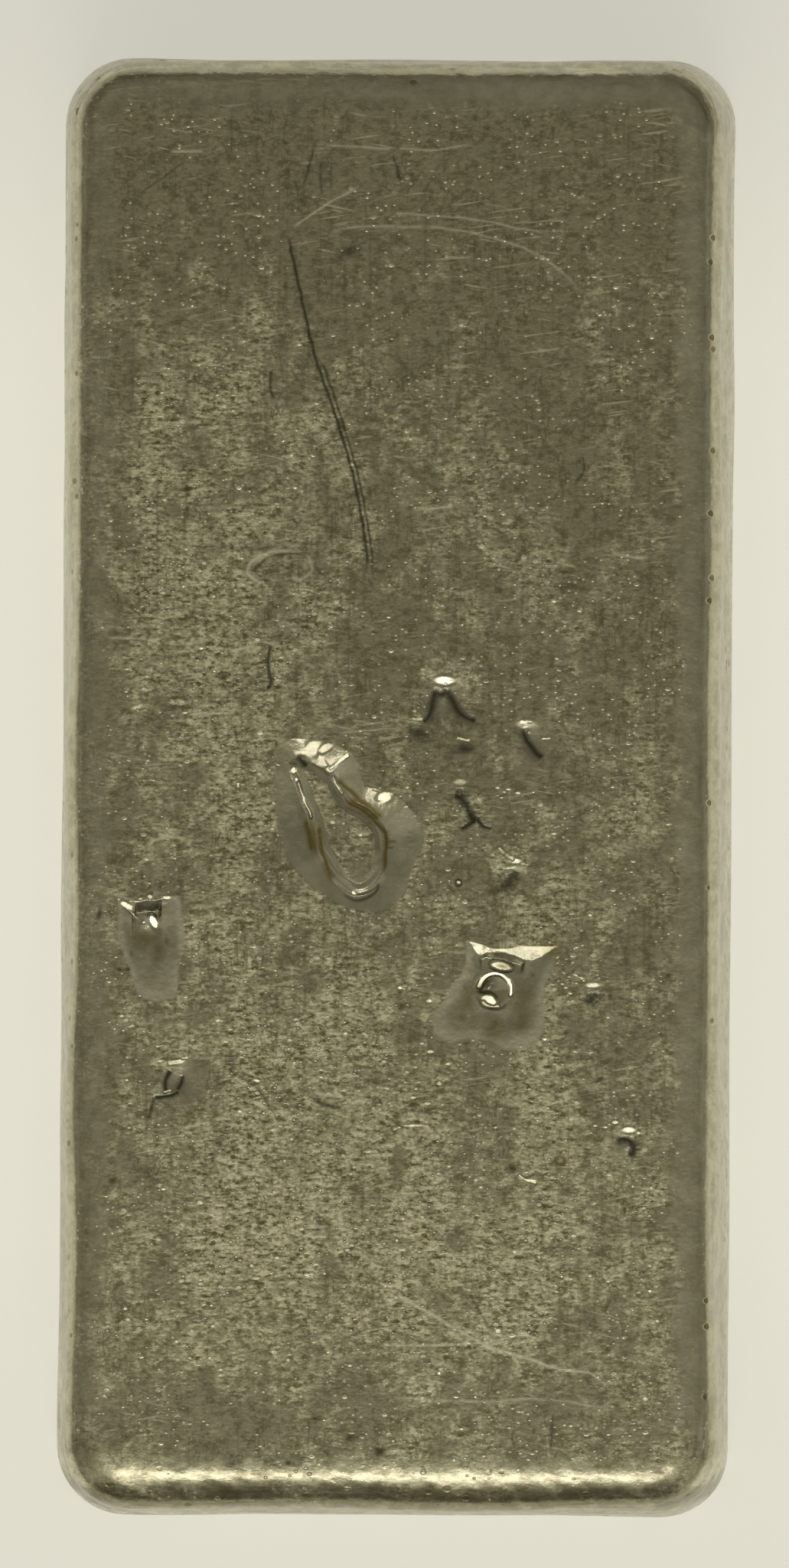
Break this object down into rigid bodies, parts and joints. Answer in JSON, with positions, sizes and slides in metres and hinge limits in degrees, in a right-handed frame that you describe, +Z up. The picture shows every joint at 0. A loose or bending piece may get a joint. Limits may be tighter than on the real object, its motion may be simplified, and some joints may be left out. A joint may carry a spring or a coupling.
{
  "type": "metal ingot",
  "caption": "Small cast precious-metal bar with drafted sides, round shoulders and smooth gas pockets in its upper face.",
  "frame": {"origin": "centre of the bounding box's bottom, on the plane that the bar rests on", "axes": "+Z up, out of the mould-side face; +Y along the bar's length; +X across its width"},
  "size_m": [0.023, 0.05, 0.0087],
  "materials": {
    "cast_silver": "As-cast fine silver, dulled olive grey by tarnish: finely nicked and scratched flat, brighter satin on the shoulders and flanks, brown in the pockets."
  },
  "bodies": {
    "root": {"ingot": "cast_silver"}
  },
  "joints": []
}
